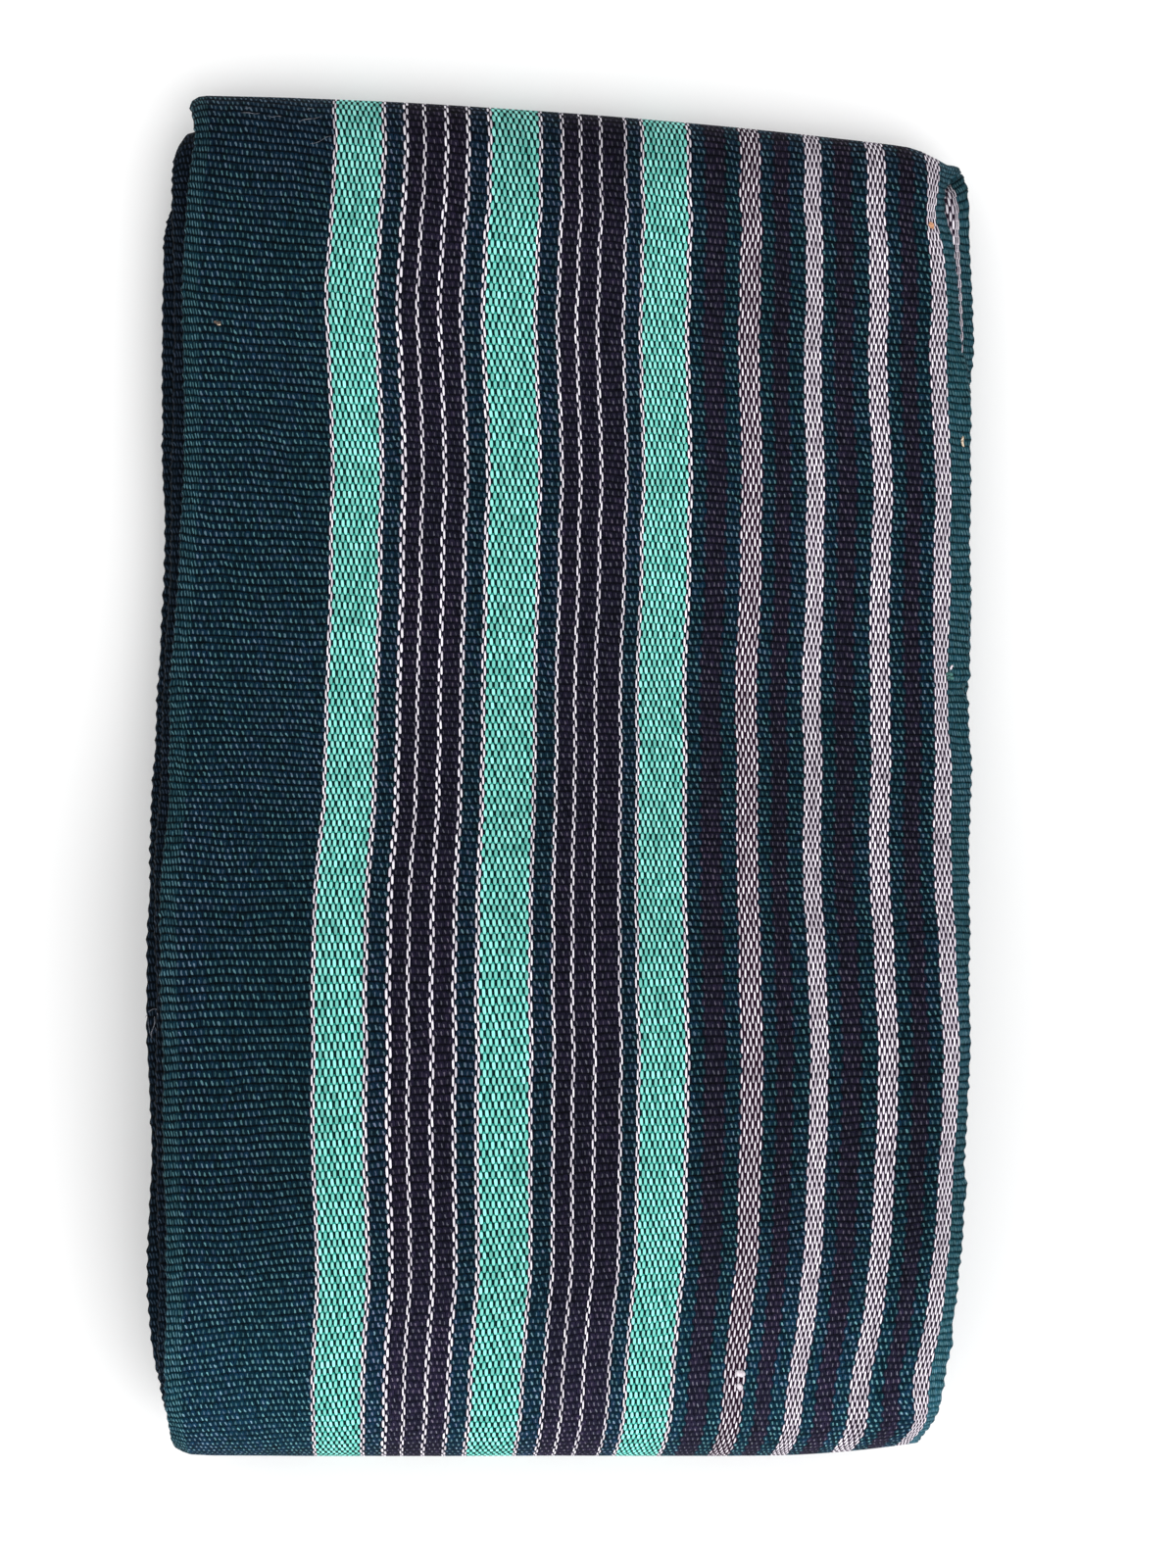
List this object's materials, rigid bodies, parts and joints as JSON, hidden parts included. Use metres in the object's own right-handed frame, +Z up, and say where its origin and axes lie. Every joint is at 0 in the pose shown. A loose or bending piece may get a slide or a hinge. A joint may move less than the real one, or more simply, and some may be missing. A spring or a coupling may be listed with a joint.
{
  "type": "folded aso oke cloth strip",
  "caption": "Hand-woven warp-striped cloth strip, wound flat into a lying bundle with a round fold at one end and a thin fold at the other.",
  "frame": {"origin": "middle of the bundle's bounding box, on the surface that it lies on", "axes": "+Z up, +Y along the strip towards the thin top fold, +X across the strip towards the white-striped selvedge"},
  "size_m": [0.1063, 0.1778, 0.0257],
  "materials": {
    "woven_cloth": "matt warp-faced cotton weave, dark green ground with mint, white and black warp stripes"
  },
  "bodies": {
    "root": {"outer_turn": "woven_cloth", "second_turn": "woven_cloth", "third_turn": "woven_cloth", "inner_layers": "woven_cloth"}
  },
  "joints": []
}
